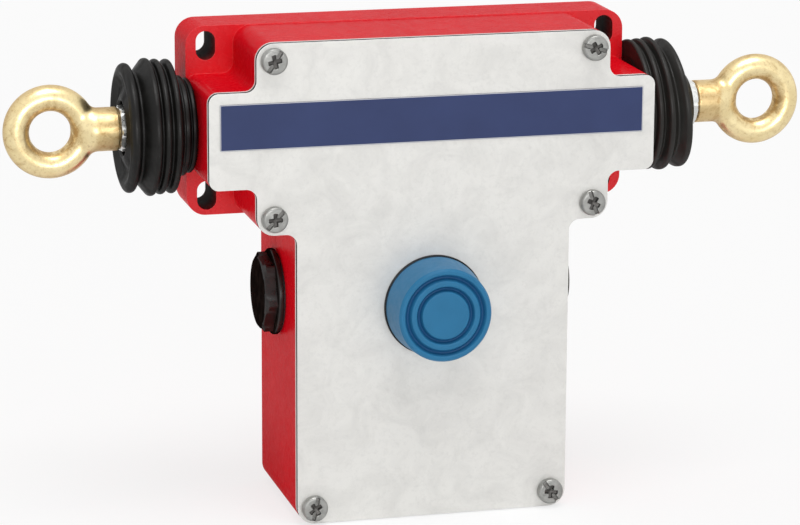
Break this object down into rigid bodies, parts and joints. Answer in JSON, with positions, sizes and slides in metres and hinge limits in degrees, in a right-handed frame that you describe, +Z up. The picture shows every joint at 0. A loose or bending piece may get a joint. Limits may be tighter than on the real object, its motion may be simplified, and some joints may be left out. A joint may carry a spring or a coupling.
{
  "type": "rope pull switch",
  "caption": "Double-ended rope pull safety switch: red T-shaped body, sprung rope shaft with eyes and rubber bellows, latching contacts and a blue reset button.",
  "frame": {"origin": "centre of the four-slot pattern on the wall face, level with the rope shaft", "axes": "+X along the rope to the right as seen from the front, +Y into the wall, +Z up; the cover faces -Y"},
  "size_m": [0.2554, 0.0645, 0.1512],
  "materials": {
    "red_paint": "semi-gloss safety red over a die casting",
    "gasket": "matt off-white sheet",
    "cover_sheet": "satin light grey sheet",
    "band": "printed film, slate blue with a pale edge",
    "screw_zinc": "bright zinc",
    "bush_bronze": "sintered bronze",
    "black_rubber": "moulded rubber, faint dusty sheen",
    "shaft_steel": "ground steel",
    "collar_steel": "dark hardened steel",
    "spring_steel": "spring wire",
    "nut_zinc": "white zinc",
    "gold_zinc": "yellow passivated zinc with brown blemishes",
    "sheet_zinc": "zinc-plated sheet",
    "rocker_brass": "brass",
    "button_blue": "moulded blue, satin",
    "white_plastic": "moulded",
    "barrel_metal": "satin",
    "black_plastic": "moulded, slightly glossy edges",
    "grey_plastic": "moulded",
    "cream_plastic": "moulded",
    "copper": "copper alloy"
  },
  "bodies": {
    "housing": {"housing": "red_paint", "cover_gasket": "gasket", "cover_plate": "cover_sheet", "cover_band": "band", "cover_screws": "screw_zinc", "bush_left": "bush_bronze", "bush_right": "bush_bronze", "boot_left": "black_rubber", "boot_right": "black_rubber", "centring_spring_left": "spring_steel", "centring_spring_right": "spring_steel", "mechanism_bracket": "sheet_zinc", "bracket_screws": "screw_zinc", "rocker_pivot": "shaft_steel", "rocker_clip": "spring_steel", "latch_pin": "shaft_steel", "latch_clip": "spring_steel", "latch_spring": "spring_steel", "reset_boot": "button_blue", "reset_spring": "spring_steel", "reset_barrel": "barrel_metal", "reset_seal": "black_rubber", "reset_nut": "barrel_metal", "contact_block": "black_plastic", "contact_lid": "grey_plastic", "fixed_contacts": "copper", "terminal_screws": "screw_zinc", "terminal_clamps": "copper", "block_screws": "screw_zinc", "earth_screw": "rocker_brass", "earth_washer": "screw_zinc", "cable_plug_left": "black_plastic", "cable_plug_right": "black_plastic", "plug_seal_left": "black_rubber", "plug_seal_right": "black_rubber"},
    "rope_shaft": {"pull_shaft": "shaft_steel", "trip_collar": "collar_steel", "drive_pin": "shaft_steel", "spring_seat_left": "shaft_steel", "spring_seat_right": "shaft_steel", "washer_left": "screw_zinc", "washer_right": "screw_zinc", "lock_nut_left": "nut_zinc", "lock_nut_right": "nut_zinc", "eye_left": "gold_zinc", "eye_right": "gold_zinc"},
    "rocker": {"rocker": "rocker_brass"},
    "carriage": {"contact_carriage": "cream_plastic", "contact_bridges": "copper"},
    "latch": {"latch_lever": "collar_steel"},
    "reset_button": {"reset_plunger": "white_plastic", "plunger_clip": "spring_steel"}
  },
  "joints": [
    {"name": "shaft_slide", "type": "slide", "parent": "housing", "child": "rope_shaft", "axis": [1, 0, 0], "range_m": [-0.007, 0.007], "stiffness_N_per_m": 9000, "deforming": ["boot_left", "boot_right", "centring_spring_left", "centring_spring_right"]},
    {"name": "rocker_swing", "type": "hinge", "parent": "housing", "child": "rocker", "pos_m": [0, -0.0081, -0.036], "axis": [0, 1, 0], "range_deg": [-11.2, 11.2]},
    {"name": "contact_slide", "type": "slide", "parent": "housing", "child": "carriage", "axis": [1, 0, 0], "range_m": [-0.0063, 0.0063]},
    {"name": "reset_push", "type": "slide", "parent": "housing", "child": "reset_button", "axis": [0, 1, 0], "range_m": [0, 0.004], "stiffness_N_per_m": 1200, "springref_m": -0.004, "deforming": ["reset_boot", "reset_spring"]},
    {"name": "latch_lift", "type": "hinge", "parent": "housing", "child": "latch", "pos_m": [0, -0.035, -0.03], "axis": [1, 0, 0], "range_deg": [0, 10.2], "deforming": ["latch_spring"]}
  ],
  "couplings": [
    {"joint": "rocker_swing", "follows": "shaft_slide", "rad_per_m": 27.778},
    {"joint": "contact_slide", "follows": "shaft_slide", "ratio": -0.8889},
    {"joint": "latch_lift", "follows": "reset_push", "rad_per_m": 44.5}
  ]
}
